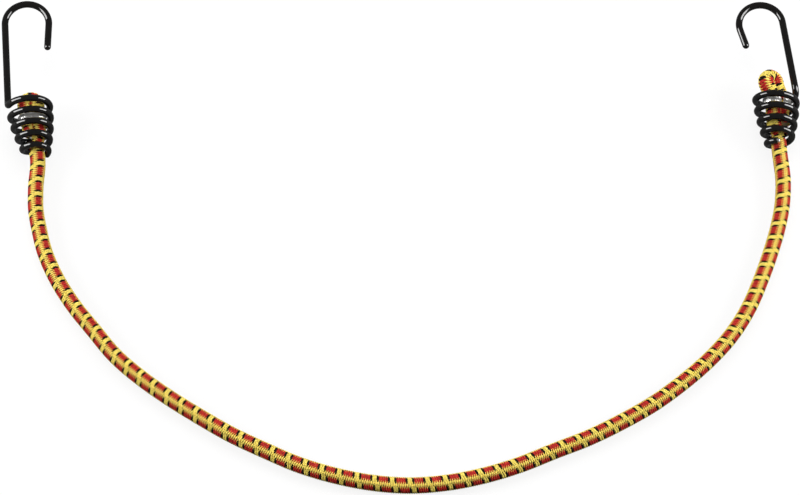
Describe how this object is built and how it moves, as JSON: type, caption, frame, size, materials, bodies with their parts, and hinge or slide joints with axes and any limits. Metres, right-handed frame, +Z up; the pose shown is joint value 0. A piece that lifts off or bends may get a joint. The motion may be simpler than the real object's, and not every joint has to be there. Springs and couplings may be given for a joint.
{
  "type": "bungee cord",
  "caption": "Elastic tie-down cord: a braided yellow, red and black sheath over a rubber core, with a black coated wire hook coiled on to each folded end.",
  "frame": {"origin": "under the middle of the cord, on the surface that the cord lies on", "axes": "+X towards the right hook, +Y from the middle of the cord towards the hooks, +Z up"},
  "size_m": [0.4072, 0.279, 0.024],
  "materials": {
    "braided_yarn": "braided synthetic yarn, yellow with red and black floats",
    "natural_rubber": "bundle of natural rubber strands",
    "black_vinyl": "smooth dipped vinyl",
    "drawn_steel": "bare drawn wire",
    "plated_steel": "plated steel strip"
  },
  "bodies": {
    "middle": {"middle_sheath": "braided_yarn", "middle_core": "natural_rubber"},
    "left_leg": {"left_leg_sheath": "braided_yarn", "left_leg_core": "natural_rubber"},
    "left_end": {"left_fold_sheath": "braided_yarn", "left_fold_core": "natural_rubber", "left_clamp": "plated_steel"},
    "left_hook": {"left_hook_coating": "black_vinyl", "left_hook_wire": "drawn_steel"},
    "right_leg": {"right_leg_sheath": "braided_yarn", "right_leg_core": "natural_rubber"},
    "right_end": {"right_fold_sheath": "braided_yarn", "right_fold_core": "natural_rubber", "right_clamp": "plated_steel"},
    "right_hook": {"right_hook_coating": "black_vinyl", "right_hook_wire": "drawn_steel"}
  },
  "joints": [
    {"name": "left_flex", "type": "hinge", "parent": "middle", "child": "left_leg", "pos_m": [-0.07, 0.0195, 0.0032], "axis": [0, 0, 1], "range_deg": [-30, 45], "deforming": ["middle_sheath", "middle_core", "left_leg_sheath", "left_leg_core"]},
    {"name": "left_stretch", "type": "slide", "parent": "left_leg", "child": "left_end", "axis": [-0.1874, 0.9823, 0], "range_m": [0, 0.15], "stiffness_N_per_m": 450, "deforming": ["left_leg_sheath", "left_leg_core"]},
    {"name": "left_swivel", "type": "hinge", "parent": "left_end", "child": "left_hook", "pos_m": [-0.1932, 0.217, 0.012], "axis": [-0.1851, 0.9702, 0.1564], "range_deg": [-90, 90]},
    {"name": "right_flex", "type": "hinge", "parent": "middle", "child": "right_leg", "pos_m": [0.07, 0.019, 0.0032], "axis": [0, 0, -1], "range_deg": [-30, 45], "deforming": ["middle_sheath", "middle_core", "right_leg_sheath", "right_leg_core"]},
    {"name": "right_stretch", "type": "slide", "parent": "right_leg", "child": "right_end", "axis": [-0.0209, 0.9998, 0], "range_m": [0, 0.15], "stiffness_N_per_m": 450, "deforming": ["right_leg_sheath", "right_leg_core"]},
    {"name": "right_swivel", "type": "hinge", "parent": "right_end", "child": "right_hook", "pos_m": [0.1867, 0.2234, 0.01202], "axis": [-0.0207, 0.9875, 0.1564], "range_deg": [-90, 90]}
  ]
}
